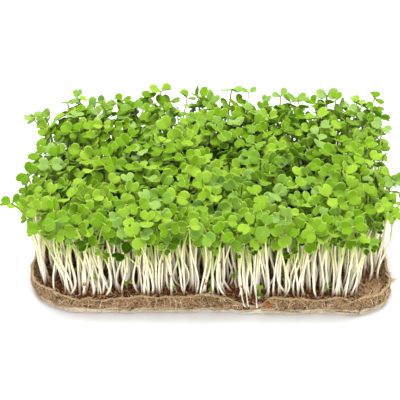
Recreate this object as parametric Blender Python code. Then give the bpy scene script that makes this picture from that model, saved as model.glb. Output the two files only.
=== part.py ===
"""A tray of brassica microgreens: a shallow felted-fibre tray, its soil bed, and bunches of seedlings.

Metres, +Z up, the front at -Y. The origin is the middle of the tray's flat underside, on the surface it stands on.
Each bunch of seedlings is fused to the clod of soil that its roots bind, and the clod stands in a plain
pocket of the soil bed. Leaves are larger and fewer than on the real plants, so that they still cover the top.
"""

import math
import random

import bpy
from mathutils import Vector
from mathutils.bvhtree import BVHTree

# Tray
TRAY_LENGTH = 0.234
TRAY_DEPTH = 0.164
RIM_HEIGHT = 0.0135
FLOOR_THICKNESS = 0.003
WALL_THICKNESS = 0.003
CORNER_RADII = (0.034, 0.027, 0.028, 0.030)  # front left, front right, back right, back left
ARC_POINTS = 6
STRAIGHT_POINTS = (18, 7, 9, 7)  # between the corners: front, right, back, left
# Height and inset of the wall's rings below the rim: the wall leans out a little, as in a dish
OUTER_RINGS = ((0.0, 0.0048), (0.0022, 0.0018), (0.0072, 0.0006))
INNER_SHOULDER = (0.0090, 0.0066)
INNER_FLOOR_INSET = 0.0112

# Waves that the soft wall strays from its plan by: reach, waves in the whole round, phase
WALL_WAVES = ((0.0007, 3, 0.6), (0.0005, 7, 2.1), (0.0003, 17, 0.0))
# Waves of the torn rim's height, in the same order
RIM_WAVES = ((0.0008, 5, 1.0), (0.0006, 13, 2.6), (0.0005, 29, 0.4))
# Tears and rises of the rim: where along the wall, half width, and height change
FRONT_TEARS = (
    (0.028, 0.0090, -0.0052),
    (-0.086, 0.0055, -0.0034),
    (-0.068, 0.0045, -0.0014),
    (0.079, 0.0080, 0.0014),
    (0.092, 0.0040, -0.0024),
    (-0.046, 0.0100, 0.0010),
)
RIGHT_RISE = (0.015, 0.045, 0.0040)
LEFT_RISE = (-0.030, 0.035, 0.0016)
FRONT_SHARE, SIDE_SHARE = 0.80, 0.88  # how far out a point is when it counts as on the front or on a side

# Soil bed and the pockets that the root clods stand in
FIT_GAP = 0.0004
SOIL_TOP = 0.0100
CLOD_TOP = 0.0106
CLOD_CROWN = 0.0009
POCKET_FLOOR = 0.0050
COLUMNS, ROWS = 8, 6
BED_HALF = Vector((0.1078, 0.0728))
CRACK_WIDTH = 0.0020
CRACK_SKEW = 0.0042
CLOD_RIM_CLEARANCE = 0.0102

# Seedlings
SEED = 41
STEM_RADIUS = 0.00075
STEM_SUNK = 0.0026
STEM_BOW = 0.0022
NODE_HEIGHT = 0.0012
BLADE_LENGTH = 0.0120
BLADE_WIDTH = 0.0136
BLADE_THICKNESS = 0.0007
SIDE_RISE, TIP_DROP = 0.0020, 0.0005  # how far a blade curls up at its sides and down to its tip
BLADE_SIZES = (0.84, 1.12)
BLADE_LIFTS = (-6.0, 26.0)
# Half of a cotyledon's outline, from the leaf stalk to the notch: share of the length, share of the width
HALF_OUTLINE = ((0.44, 0.53), (0.97, 0.36))
NOTCH = 0.79

# Sowing
CLEARANCE = 0.0004
FOOT_SPACING = 0.0058
FOOT_FROM_EDGE = 0.0016
TRIES = 70
NEIGHBOUR_REACH = 0.045
# Stem heights above the soil for each round of sowing, and how many clods in from the edge the round goes
STORIES = (
    ((0.058, 0.066), 3),
    ((0.052, 0.060), 3),
    ((0.048, 0.058), 3),
    ((0.042, 0.051), 1),
    ((0.036, 0.044), 1),
)
BACK_RISE = 0.0070
EDGE_BAND = 0.026
EDGE_LEAN = 0.0105
EDGE_REACH, EDGE_REACH_STEP = 0.55, 0.22  # share of the lean for the tallest round, and more for each lower one
LEAN_SPREAD = 0.0045
LIGHT_LEAN = Vector((-0.0035, -0.0030))  # the whole stand leans a little to the left and to the front
EDGE_TILT = 0.62
LIGHT_TILT = 0.34
TILT_SPREAD = 0.32
STRAY_BOW = -0.18
STRAY_TILT = Vector((0.0, -0.35, 1.2))
STRAY_LIFTS = (14.0, 20.0)

# Seedlings that stand out of the crowd: foot (x, y), tip (x, y, z), way the leaf pair runs in degrees, leaf size
STRAYS = (
    ((-0.100, 0.034), (-0.1240, 0.0400, 0.0800), 15.0, 0.86),
    ((-0.103, -0.044), (-0.1270, -0.0500, 0.0640), 170.0, 1.00),
    ((-0.096, -0.058), (-0.1180, -0.0700, 0.0440), 95.0, 0.90),
    ((0.022, 0.066), (0.0250, 0.0720, 0.0860), 5.0, 0.80),
    ((0.103, -0.038), (0.1230, -0.0440, 0.0640), 75.0, 0.95),
    ((0.044, 0.066), (0.0480, 0.0740, 0.0820), 40.0, 1.00),
    ((-0.060, 0.062), (-0.0650, 0.0720, 0.0790), 150.0, 0.95),
    ((0.096, 0.064), (0.1020, 0.0730, 0.0780), 120.0, 0.95),
    ((-0.046, -0.066), (-0.0520, -0.0690, 0.0170), 20.0, 0.45),
    ((0.049, -0.062), (0.0460, -0.0640, 0.0200), 140.0, 0.50),
    ((0.078, -0.064), (0.0800, -0.0670, 0.0160), 60.0, 0.42),
)

# Colour and roughness of each material
FINISHES = {
    "fibre": ((0.44, 0.33, 0.21, 1.0), 0.95),
    "soil": ((0.060, 0.030, 0.020, 1.0), 0.95),
    "seedling": ((0.33, 0.58, 0.10, 1.0), 0.55),
}


def clear_scene():
    for obj in list(bpy.data.objects):
        bpy.data.objects.remove(obj)


def material(name):
    colour, roughness = FINISHES[name]
    made = bpy.data.materials.get(name) or bpy.data.materials.new(name)
    made.use_nodes = True
    made.diffuse_color = colour
    shader = made.node_tree.nodes["Principled BSDF"]
    shader.inputs["Base Color"].default_value = colour
    shader.inputs["Roughness"].default_value = roughness
    shader.inputs["Metallic"].default_value = 0.0
    return made


def mesh_object(name, points, faces, material_name, collection=None):
    mesh = bpy.data.meshes.new(name)
    mesh.from_pydata([tuple(p) for p in points], [], faces)
    mesh.materials.append(material(material_name))
    obj = bpy.data.objects.new(name, mesh)
    (collection or bpy.context.scene.collection).objects.link(obj)
    return obj


def new_collection(name):
    made = bpy.data.collections.new(name)
    bpy.context.scene.collection.children.link(made)
    return made


def boolean_with(obj, others, operation):
    """Joins or cuts obj with every object of a collection, then drops the collection."""
    modifier = obj.modifiers.new(operation.title(), "BOOLEAN")
    modifier.operation = operation
    modifier.operand_type = "COLLECTION"
    modifier.collection = others
    modifier.solver = "EXACT"
    graph = bpy.context.evaluated_depsgraph_get()
    mesh = bpy.data.meshes.new_from_object(obj.evaluated_get(graph))
    obj.modifiers.clear()
    obj.data = mesh
    for other in list(others.objects):
        bpy.data.objects.remove(other)
    bpy.data.collections.remove(others)


# The tray


def corner_centres():
    half_x, half_y = TRAY_LENGTH / 2, TRAY_DEPTH / 2
    signs = ((-1, -1), (1, -1), (1, 1), (-1, 1))
    return [
        Vector((sx * (half_x - r), sy * (half_y - r))) for (sx, sy), r in zip(signs, CORNER_RADII)
    ]


def outline(inset):
    """Points of the tray's plan, moved in by inset, each with its outward normal. Counter-clockwise."""
    arcs = []
    for index, (centre, radius) in enumerate(zip(corner_centres(), CORNER_RADII)):
        arc = []
        for step in range(ARC_POINTS):
            angle = math.pi + (index + step / (ARC_POINTS - 1)) * math.pi / 2
            normal = Vector((math.cos(angle), math.sin(angle)))
            arc.append((centre + normal * (radius - inset), normal))
        arcs.append(arc)
    points = []
    for index, arc in enumerate(arcs):
        points += arc
        (start, normal), (end, _) = arc[-1], arcs[(index + 1) % 4][0]
        between = STRAIGHT_POINTS[index] + 1
        points += [(start.lerp(end, step / between), normal) for step in range(1, between)]
    return points


def wave_sum(waves, share):
    return sum(reach * math.sin(count * 2 * math.pi * share + phase) for reach, count, phase in waves)


def bump(value, middle, width, height):
    return height * math.exp(-(((value - middle) / width) ** 2))


def rim_height(point, share):
    """The torn rim's height at a point of the plan, which is a share of the way round."""
    height = RIM_HEIGHT + wave_sum(RIM_WAVES, share)
    if point.y < -FRONT_SHARE * TRAY_DEPTH / 2:
        height += sum(bump(point.x, *tear) for tear in FRONT_TEARS)
    if point.x > SIDE_SHARE * TRAY_LENGTH / 2:
        height += bump(point.y, *RIGHT_RISE)
    if point.x < -SIDE_SHARE * TRAY_LENGTH / 2:
        height += bump(point.y, *LEFT_RISE)
    return height


def ring(inset, height=None):
    """One ring of the tray's wall or of the soil's side. With no height it lies on the rim."""
    plan = outline(inset)
    points = []
    for index, (point, normal) in enumerate(plan):
        share = index / len(plan)
        z = rim_height(point, share) if height is None else height
        place = point + normal * wave_sum(WALL_WAVES, share)
        points.append(Vector((place.x, place.y, z)))
    return points


def loft(name, rings, material_name):
    """A closed body through the rings, with a flat face on the first and on the last."""
    count = len(rings[0])
    points = [p for one in rings for p in one]
    faces = [list(range(count))[::-1]]
    for level in range(len(rings) - 1):
        low, high = level * count, (level + 1) * count
        for i in range(count):
            j = (i + 1) % count
            faces.append((low + i, low + j, high + j, high + i))
    faces.append([(len(rings) - 1) * count + i for i in range(count)])
    return mesh_object(name, points, faces, material_name)


def make_tray():
    shoulder_z, shoulder_inset = INNER_SHOULDER
    rings = [
        *(ring(inset, height) for height, inset in OUTER_RINGS),
        ring(0.0),
        ring(WALL_THICKNESS),
        ring(shoulder_inset, shoulder_z),
        ring(INNER_FLOOR_INSET, FLOOR_THICKNESS),
    ]
    tray = loft("fibre_tray", rings, "fibre")
    tray.data.shade_smooth()
    tray.data.set_sharp_from_angle(angle=math.radians(40))


# The soil bed and its pockets


def held_in_bed(point):
    """The point, moved in where it would leave too little soil between a pocket and the tray's wall."""
    half_x, half_y = TRAY_LENGTH / 2, TRAY_DEPTH / 2
    corner = (0 if point.x < 0 else 1) if point.y < 0 else (3 if point.x < 0 else 2)
    centre, radius = corner_centres()[corner], CORNER_RADII[corner] - CLOD_RIM_CLEARANCE
    x = max(-half_x + CLOD_RIM_CLEARANCE, min(half_x - CLOD_RIM_CLEARANCE, point.x))
    y = max(-half_y + CLOD_RIM_CLEARANCE, min(half_y - CLOD_RIM_CLEARANCE, point.y))
    away = Vector((x, y)) - centre
    past_arc = away.x * centre.x > 0 and away.y * centre.y > 0 and away.length > radius
    return centre + away.normalized() * radius if past_arc else Vector((x, y))


def crack_crossing(column, row):
    """Where the cracks between the clods cross: a corner of the bed's grid, skewed by a seeded draw."""
    draw = random.Random(SEED * 1000 + row * (COLUMNS + 1) + column)
    skew_x, skew_y = draw.uniform(-CRACK_SKEW, CRACK_SKEW), draw.uniform(-CRACK_SKEW, CRACK_SKEW)
    return Vector(
        (
            BED_HALF.x * (2 * column / COLUMNS - 1) + (skew_x if 0 < column < COLUMNS else 0.0),
            BED_HALF.y * (2 * row / ROWS - 1) + (skew_y if 0 < row < ROWS else 0.0),
        )
    )


def clod_corners(column, row, inset):
    """The four corners of one clod's plan, counter-clockwise, moved in by inset."""
    crossings = [crack_crossing(column + c, row + r) for c, r in ((0, 0), (1, 0), (1, 1), (0, 1))]
    held = [held_in_bed(crossing) for crossing in crossings]
    moved = []
    for index, corner in enumerate(held):
        before = (held[index - 1] - corner).normalized()
        after = (held[(index + 1) % 4] - corner).normalized()
        breadth = abs(before.x * after.y - before.y * after.x)
        moved.append(corner + (before + after) * (CRACK_WIDTH / 2 + inset) / breadth)
    return moved


def crowned_block(name, plan, low, high, crown, material_name, collection=None):
    """A block on a four-cornered plan, with its top raised to a low crown in the middle."""
    middle = sum(plan, Vector((0, 0))) / len(plan)
    points = [Vector((p.x, p.y, low)) for p in plan] + [Vector((p.x, p.y, high)) for p in plan]
    points.append(Vector((middle.x, middle.y, high + crown)))
    faces = [(3, 2, 1, 0)]
    faces += [(i, (i + 1) % 4, 4 + (i + 1) % 4, 4 + i) for i in range(4)]
    faces += [(4 + i, 4 + (i + 1) % 4, 8) for i in range(4)]
    return mesh_object(name, points, faces, material_name, collection)


def make_soil():
    shoulder_z, shoulder_inset = INNER_SHOULDER
    rings = [
        ring(INNER_FLOOR_INSET + FIT_GAP, FLOOR_THICKNESS + FIT_GAP),
        ring(shoulder_inset + FIT_GAP * 1.5, shoulder_z),
        ring(shoulder_inset + FIT_GAP, SOIL_TOP),
    ]
    soil = loft("soil_bed", rings, "soil")
    cutters = new_collection("pocket_cutters")
    for row in range(ROWS):
        for column in range(COLUMNS):
            plan = clod_corners(column, row, 0.0)
            name = f"pocket_{row}_{column}"
            crowned_block(name, plan, POCKET_FLOOR, SOIL_TOP * 2, CLOD_CROWN, "soil", cutters)
    boolean_with(soil, cutters, "DIFFERENCE")


# One seedling


def leaf_axis(up, degrees):
    """The way a leaf pair runs: level, at a compass angle, then tipped to lie square to up."""
    angle = math.radians(degrees)
    flat = Vector((math.cos(angle), math.sin(angle), 0.0))
    return (flat - up * flat.dot(up)).normalized()


def add_blade(points, faces, stem_ring, plant, side):
    """Adds one cotyledon, which grows out of the stem's top node on one side of it.

    stem_ring holds the four corner numbers that it grows from: top left, top right, low left, low right,
    as seen from the leaf looking back at the stem.
    """
    up, axis, size = plant["up"], plant["axis"], plant["size"]
    across = up.cross(axis) * side
    lift = math.radians(plant["lifts"][0 if side > 0 else 1])
    way = axis * (side * math.cos(lift)) + up * math.sin(lift)
    face_up = up * math.cos(lift) - axis * (side * math.sin(lift))
    root = plant["tip"] + axis * (side * STEM_RADIUS)
    rim = [*HALF_OUTLINE, (NOTCH, 0.0), *((along, -over) for along, over in reversed(HALF_OUTLINE))]
    first = len(points)
    for along, over in rim:
        rise = SIDE_RISE * abs(over) - TIP_DROP * along
        place = way * (along * BLADE_LENGTH) + across * (over * BLADE_WIDTH) + face_up * rise
        upper = root + place * size
        points += [upper, upper - face_up * BLADE_THICKNESS]
    top_right, top_left, low_right, low_left = stem_ring
    upper_rim = [top_right] + [first + 2 * i for i in range(len(rim))] + [top_left]
    lower_rim = [low_right] + [first + 2 * i + 1 for i in range(len(rim))] + [low_left]
    notch = 1 + len(HALF_OUTLINE)
    edges = range(len(upper_rim) - 1)
    for i in edges:
        if notch not in (i, i + 1):
            faces.append((upper_rim[notch], upper_rim[i + 1], upper_rim[i]))
            faces.append((lower_rim[notch], lower_rim[i], lower_rim[i + 1]))
    faces.append((upper_rim[notch], upper_rim[0], upper_rim[-1]))
    faces.append((lower_rim[notch], lower_rim[-1], lower_rim[0]))
    faces += [(upper_rim[i], upper_rim[i + 1], lower_rim[i + 1], lower_rim[i]) for i in edges]


def square_ring(middle, axis, across):
    signs = ((1, 1), (-1, 1), (-1, -1), (1, -1))
    return [middle + (axis * a + across * b) * STEM_RADIUS for a, b in signs]


def seedling_mesh(plant):
    """A closed body: a four-sided stem with two cotyledons growing out of its top node."""
    foot, tip, up, axis = plant["foot"], plant["tip"], plant["up"], plant["axis"]
    bend, under = foot.lerp(tip, 0.5) + plant["bow"], tip - up * NODE_HEIGHT
    points, faces = [], [(3, 2, 1, 0)]
    for middle, next_one in ((foot, bend), (bend, under)):
        run = (next_one - middle).normalized()
        flat_axis = (axis - run * axis.dot(run)).normalized()
        points += square_ring(middle, flat_axis, run.cross(flat_axis))
    points += square_ring(under, axis, up.cross(axis)) + square_ring(tip, axis, up.cross(axis))
    for low in (0, 4):
        faces += [(low + i, low + (i + 1) % 4, low + 4 + (i + 1) % 4, low + 4 + i) for i in range(4)]
    faces += [(8, 9, 13, 12), (10, 11, 15, 14), (12, 13, 14, 15)]
    add_blade(points, faces, (12, 15, 8, 11), plant, 1)
    add_blade(points, faces, (14, 13, 10, 9), plant, -1)
    return points, faces


# Sowing: where each seedling stands and how it leans


def edge_pull(foot):
    """How near the bed's edge a foot is, as a vector that points outward: 0 in the middle, 1 at the edge."""
    pull = []
    for value, half in zip(foot, BED_HALF):
        share = max(0.0, (abs(value) - (half - EDGE_BAND)) / EDGE_BAND)
        pull.append(math.copysign(share, value))
    return Vector(pull)


def drawn_plant(draw, foot, story):
    """One random seedling on a foot. Near the bed's edge it leans out, and its leaves tip outward."""
    pull = edge_pull(foot)
    height = draw.uniform(*STORIES[story][0]) + BACK_RISE * max(0.0, foot.y / BED_HALF.y)
    reach = EDGE_REACH + EDGE_REACH_STEP * story
    spread = Vector((draw.gauss(0, LEAN_SPREAD), draw.gauss(0, LEAN_SPREAD)))
    over = foot + pull * EDGE_LEAN * reach + LIGHT_LEAN + spread
    tilt_x = pull.x * EDGE_TILT + draw.gauss(0, TILT_SPREAD)
    tilt_y = pull.y * EDGE_TILT - LIGHT_TILT + draw.gauss(0, TILT_SPREAD)
    up = Vector((tilt_x, tilt_y, 1.0)).normalized()
    return {
        "foot": Vector((foot.x, foot.y, CLOD_TOP - STEM_SUNK)),
        "tip": Vector((over.x, over.y, SOIL_TOP + height)),
        "bow": Vector((draw.gauss(0, STEM_BOW), draw.gauss(0, STEM_BOW), 0.0)),
        "up": up,
        "lifts": (draw.uniform(*BLADE_LIFTS), draw.uniform(*BLADE_LIFTS)),
        "axis": leaf_axis(up, draw.uniform(0, 360)),
        "size": draw.uniform(*BLADE_SIZES),
    }


def stray_plant(foot, tip, degrees, size):
    """One hand-placed seedling."""
    foot, tip = Vector((foot.x, foot.y, CLOD_TOP - STEM_SUNK)), Vector(tip)
    lean = tip - foot
    up = (lean.normalized() + STRAY_TILT).normalized()
    return {
        "foot": foot,
        "tip": tip,
        "bow": Vector((lean.x, lean.y, 0.0)) * STRAY_BOW,
        "up": up,
        "lifts": STRAY_LIFTS,
        "axis": leaf_axis(up, degrees),
        "size": size,
    }


def depth_in_plan(plan, point):
    """How far a point is inside a convex plan. Below 0 outside it."""
    depths = []
    for start, end in zip(plan, plan[1:] + plan[:1]):
        along, away = (end - start).normalized(), point - start
        depths.append(along.x * away.y - along.y * away.x)
    return min(depths)


def clod_under(foot):
    """The clod that a hand-placed foot stands in, and the foot, moved in from the clod's edge where needed."""
    plans = {(c, r): clod_corners(c, r, FIT_GAP) for c in range(COLUMNS) for r in range(ROWS)}
    held = Vector(foot)
    best = max(plans, key=lambda clod: depth_in_plan(plans[clod], held))
    middle = sum(plans[best], Vector((0, 0))) / 4
    while depth_in_plan(plans[best], held) < FOOT_FROM_EDGE:
        held = held.lerp(middle, 0.1)
    return best, held


def tree_of(plant):
    points, faces = seedling_mesh(plant)
    return BVHTree.FromPolygons(points, faces, epsilon=CLEARANCE)


def is_clear(plant, tree, planted):
    """True if a seedling touches none of those that are planted already."""
    for other, other_tree in planted:
        apart = (plant["tip"].xy - other["tip"].xy).length
        if apart < NEIGHBOUR_REACH and tree.overlap(other_tree):
            return False
    return True


def sow():
    """Every seedling, by clod. No two of them touch."""
    draw = random.Random(SEED)
    planted, by_clod = [], {(c, r): [] for r in range(ROWS) for c in range(COLUMNS)}
    for foot, tip, degrees, size in STRAYS:
        clod, held = clod_under(foot)
        plant = stray_plant(held, tip, degrees, size)
        planted.append((plant, tree_of(plant)))
        by_clod[clod].append(plant)
    for story, (_, clods_in) in enumerate(STORIES):
        for (column, row), here in by_clod.items():
            if min(column, COLUMNS - 1 - column, row, ROWS - 1 - row) >= clods_in:
                continue
            plan = clod_corners(column, row, FIT_GAP)
            (low_x, high_x), (low_y, high_y) = ((min(side), max(side)) for side in zip(*plan))
            feet = [plant["foot"].xy for plant in here]
            for _ in range(TRIES):
                foot = Vector((draw.uniform(low_x, high_x), draw.uniform(low_y, high_y)))
                crowded = any((foot - other).length < FOOT_SPACING for other in feet)
                if crowded or depth_in_plan(plan, foot) < FOOT_FROM_EDGE:
                    continue
                plant = drawn_plant(draw, foot, story)
                tree = tree_of(plant)
                if is_clear(plant, tree, planted):
                    planted.append((plant, tree))
                    here.append(plant)
                    break
    return by_clod


def make_bunches():
    for (column, row), plants in sow().items():
        name = f"seedlings_r{row + 1}_c{column + 1}"
        plan = clod_corners(column, row, FIT_GAP)
        bunch = crowned_block(name, plan, POCKET_FLOOR + FIT_GAP, CLOD_TOP, CLOD_CROWN, "seedling")
        grown = new_collection(f"{name}_plants")
        for number, plant in enumerate(plants):
            points, faces = seedling_mesh(plant)
            mesh_object(f"{name}_plant_{number}", points, faces, "seedling", grown)
        boolean_with(bunch, grown, "UNION")


def main():
    clear_scene()
    make_tray()
    make_soil()
    make_bunches()


main()
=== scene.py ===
"""The looks of the microgreens tray: about 1,600 seedlings, the torn felted-fibre tray, and its soil.

Metres, +Z up, the front at -Y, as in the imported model. The camera sees it as the photograph does.
"""

import functools
import math
import random

import bmesh
import bpy
import numpy as np
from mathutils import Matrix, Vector, noise


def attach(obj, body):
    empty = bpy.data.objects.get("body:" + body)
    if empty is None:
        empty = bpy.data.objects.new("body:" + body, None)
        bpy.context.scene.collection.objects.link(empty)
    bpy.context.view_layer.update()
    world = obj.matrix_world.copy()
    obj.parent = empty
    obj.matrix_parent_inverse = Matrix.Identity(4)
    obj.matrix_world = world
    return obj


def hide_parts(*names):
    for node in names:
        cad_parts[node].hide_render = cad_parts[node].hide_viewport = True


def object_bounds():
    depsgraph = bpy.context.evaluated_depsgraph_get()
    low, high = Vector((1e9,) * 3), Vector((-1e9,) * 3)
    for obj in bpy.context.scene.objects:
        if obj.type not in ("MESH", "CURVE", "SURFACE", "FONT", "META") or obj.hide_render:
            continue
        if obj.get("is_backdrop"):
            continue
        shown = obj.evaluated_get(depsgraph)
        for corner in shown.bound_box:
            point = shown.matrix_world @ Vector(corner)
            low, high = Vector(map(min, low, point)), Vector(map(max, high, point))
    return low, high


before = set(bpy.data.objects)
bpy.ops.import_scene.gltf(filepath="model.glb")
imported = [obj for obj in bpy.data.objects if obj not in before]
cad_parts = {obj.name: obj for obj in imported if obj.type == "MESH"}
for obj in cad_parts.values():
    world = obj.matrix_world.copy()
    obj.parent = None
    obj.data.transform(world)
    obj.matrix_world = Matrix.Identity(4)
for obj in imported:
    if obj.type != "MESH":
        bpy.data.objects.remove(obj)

CAD_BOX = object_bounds()
SEED = 7

# The tray's plan and section, as the solids have them
TRAY_LENGTH, TRAY_DEPTH = 0.234, 0.164
FRONT_WALL_Y = -TRAY_DEPTH / 2
RIM_HEIGHT = 0.0135
CORNER_RADII = (0.034, 0.027, 0.028, 0.030)  # front left, front right, back right, back left
ARC_STEPS = 5
STRAIGHT_STEPS = (19, 8, 10, 8)  # front, right, back, left
FLOOR_HEIGHT = 0.0034
WALL_WAVES = ((0.0007, 3, 0.6), (0.0005, 7, 2.1), (0.0003, 17, 0.0))
RIM_WAVES = ((0.0008, 5, 1.0), (0.0006, 13, 2.6), (0.0005, 29, 0.4))
# The same tears as in the solids, with the wide dip and the right one drawn more finely
FRONT_TEARS = (
    (0.0170, 0.0055, -0.0030),
    (0.0265, 0.0070, -0.0048),
    (0.0335, 0.0035, -0.0022),
    (-0.086, 0.0055, -0.0034),
    (-0.068, 0.0045, -0.0014),
    (0.079, 0.0080, 0.0012),
    (0.092, 0.0040, -0.0016),
    (-0.046, 0.0100, 0.0010),
    (0.050, 0.0050, 0.0006),
    (0.006, 0.0030, -0.0007),
)
RIGHT_RISE = (0.015, 0.045, 0.0040)
LEFT_RISE = (-0.030, 0.035, 0.0016)
FRONT_SHARE, SIDE_SHARE = 0.80, 0.88

# The tray's felt
RIM_POINTS = 1300
# Height and inset of each ring of a wall as high as RIM_HEIGHT, from the underside out and up
OUTER_PROFILE = (
    (0.0, 0.0340), (0.0, 0.0090), (0.0, 0.0052), (0.0004, 0.0036), (0.0010, 0.0024), (0.0018, 0.0017),
    (0.0027, 0.0013), (0.0036, 0.0010), (0.0045, 0.0008), (0.0054, 0.0006), (0.0063, 0.0004),
    (0.0072, 0.0003), (0.0081, 0.0002),
)
# Share of the rim's height, inset and tear of each ring over the rim, and how many of them are outside
RIM_PROFILE = (
    (0.67, 0.0001, 0.0), (0.74, 0.0, 0.0), (0.81, 0.0, 0.0), (0.87, 0.0, 0.0), (0.93, 0.0002, 0.3),
    (0.98, 0.0006, 0.9), (1.0, 0.0012, 1.0), (0.985, 0.0018, 0.6), (0.94, 0.0025, 0.1), (0.88, 0.0031, 0.0),
)
RIM_RINGS_OUTSIDE = 6
INNER_PROFILE = ((0.0110, 0.0042), (0.0100, 0.0054), (0.0088, 0.0068), (0.0062, 0.0088), (0.0034, 0.0112))
PALE_HEIGHT = 0.0092  # where the pale lower part of the wall ends
# Pits in the front wall, painted dark as the shade inside them: x, height, half width, half height
PITS = (
    (-0.0885, 0.0085, 0.0021, 0.0012),
    (-0.0780, 0.0060, 0.0012, 0.0008),
    (0.0540, 0.0030, 0.0040, 0.0007),
)
PIT_DEPTH = 0.0016
WALL_FIBRES, RIM_FIBRES, CORNER_TUFT = 2400, 900, 26
# Pale threads on the front wall: x, height of the top, height of the bottom
WALL_THREADS = ((-0.0215, 0.0128, 0.0034), (-0.0195, 0.0050, 0.0012), (-0.0770, 0.0112, 0.0060))
# Layers of roughness: how far each reaches, its scale and its offset
FELT_LUMPS = ((0.0008, 110.0, 5.0), (0.0006, 300.0, 2.0), (0.0003, 720.0, 7.0))
RIM_FRAY = ((0.0009, 150.0, 3.0), (0.0007, 420.0, 9.0), (0.0004, 900.0, 5.0))
SOIL_LUMPS = ((0.0009, 70.0, 1.0), (0.0008, 210.0, 4.0), (0.0005, 520.0, 8.0))

# Soil
SOIL_HEIGHT = 0.0100
SOIL_POINTS, SOIL_RINGS = 420, 62
SOIL_FOOT_INSET, SOIL_EDGE_INSET = 0.0116, 0.0085
# Inset of each ring of the soil's rim and how far it stays below the wall's
SOIL_BANKS = ((0.0036, 0.0018), (0.0050, 0.0006), (0.0066, -0.0006))
CRUMBS, FRONT_CRUMBS, CORNER_CRUMBS = 1000, 600, 260
HUSKS, FRONT_HUSKS, DIP_HUSKS, STEM_HUSKS = 90, 260, 11, 13
HUSK_ROWS, HUSK_COLUMNS = 5, 8
SOIL_FIBRES = 420
ROOTS = 26
# White stems that hang over the wall's wide dip: x in the stand, x at the end, how far below the rim they end
HANGING_ROOTS = ((0.0190, 0.0228, 0.0016), (0.0222, 0.0252, 0.0011), (0.0284, 0.0302, 0.0019))
CURLED_ROOT = (0.0008, -0.0772, 0.0138, 0.0016)  # the middle and radius of a white loop on the soil
# The soil's outline inside the front wall
FRONT_SOIL_HALF, FRONT_SOIL_CORNER = (0.1105, 0.0785), 0.0245
SOIL_FRONT_Y = -0.0790
WIDE_DIP_TEARS = 3  # the first of FRONT_TEARS
LITTER_BAND = 0.020

# Seedlings
CLOD_CEILING = 0.0117  # above every clod of the solids and below every bend of their stems
CAD_BLADE_THICKNESS = 0.0007
CAD_BLADE_WIDTH = 0.0136 * 1.06
CAD_BLADE_POINTS = 5
PACKED_SIZE = 0.84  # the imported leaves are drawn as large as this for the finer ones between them
CAD_NODE_POINTS, CAD_BEND_POINTS = 8, 4
BED_HALF, BED_CORNER = (0.1078, 0.0728), 0.024
SOWN_HALF = (0.1112, 0.0765)
# Each round of sowing: how many, the box of their feet, their heights above the soil and their leaf sizes
SOWING_ROUNDS = (
    (9, (-0.100, 0.100, -0.0765, -0.0640), (0.0030, 0.0150), (0.26, 0.40)),
    (140, (-0.110, 0.110, -0.0765, -0.0560), (0.0490, 0.0620), (0.74, 0.98)),
    (46, (-0.1112, -0.1010, -0.0600, 0.0500), (0.0480, 0.0620), (0.72, 0.96)),
    (440, (-0.110, 0.110, -0.0765, 0.0745), (0.0500, 0.0650), (0.78, 1.10)),
    (480, (-0.110, 0.110, -0.0765, 0.0745), (0.0430, 0.0570), (0.72, 1.02)),
    (90, (-0.110, 0.110, -0.0765, -0.0540), (0.0400, 0.0500), (0.34, 0.56)),
    (560, (-0.108, 0.108, -0.0500, 0.0745), (0.0320, 0.0460), (0.55, 0.92)),
)
RAISED_ROUND = 1  # the one whose heights and sizes the raised seedlings of the front get
FOOT_TRIES, LEAF_TRIES = 8, 10
FOOT_SPACING = 0.0015
ROOM_CELL = 0.0006
STEM_SAMPLES, FIRST_STEM_SAMPLE = 34, 10
# Places where hardly anything grows: x, y, radius
BARE_SPOTS = (
    (0.0445, -0.0600, 0.0080),
    (0.1040, -0.0660, 0.0100),
    (-0.0960, -0.0630, 0.0090),
    (-0.0640, -0.0560, 0.0040),
    (-0.1100, 0.0740, 0.0160),
)
LOW_FRONT_TIP, LOW_FRONT_Y, STUNTED_TIP = 0.0570, -0.048, 0.026
LOW_SIDE_TIP, LOW_SIDE_X = 0.0660, 0.114
LOW_KEPT = 0.10
TALLEST, SMALL_LEAF = 0.0765, 0.6
EDGE_BAND, FRONT_ROWS = 0.030, 0.62  # where feet are pulled out, and the share past which the front rows are
LEAF_LENGTH, LEAF_WIDTH = 0.0086, 0.0105
LEAF_THICKNESS = 0.00032
PETIOLE = 0.0007
LEAF_MARGIN = np.array((0.0015, 0.0015, 0.0026))  # what cupped leaves may need past their flat samples
STEM_BASE_RADIUS, STEM_TOP_RADIUS = 0.00072, 0.00047
STEM_STEPS, STEM_SIDES = 14, 7
STALK_RADII, STALK_SIDES = (0.00040, 0.00046, 0.00042, 0.00036, 0.00014), 6
LEAF_ROWS, LEAF_COLUMNS = 6, 8


# Meshes


def placed(name, data):
    """A new object in the scene."""
    obj = bpy.data.objects.new(name, data)
    bpy.context.scene.collection.objects.link(obj)
    return obj


class Batch:
    """Points, faces and per-point values gathered from many small shapes for one piece."""

    def __init__(self, *value_names):
        self.points, self.faces, self.count = [], [], 0
        self.values = {name: [] for name in value_names}

    def add(self, points, faces, **values):
        self.points.append(np.asarray(points, float))
        self.faces += [tuple(i + self.count for i in face) for face in faces]
        for name, gathered in self.values.items():
            gathered.append(np.broadcast_to(np.asarray(values[name], float), len(points)))
        self.count += len(points)

    def piece(self, name, finish, slot_name, *replaced):
        mesh = bpy.data.meshes.new(name)
        mesh.from_pydata(np.concatenate(self.points).tolist(), [], self.faces)
        for value_name, gathered in self.values.items():
            attribute = mesh.attributes.new(value_name, "FLOAT", "POINT")
            attribute.data.foreach_set("value", np.concatenate(gathered).astype(np.float32))
        mesh.materials.append(finish)
        mesh.shade_smooth()
        obj = placed(name, mesh)
        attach(obj, "root")
        if replaced:
            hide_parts(*replaced)


def clamp(value):
    """The value, held from 0 to 1."""
    return min(1.0, max(0.0, value))


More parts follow.
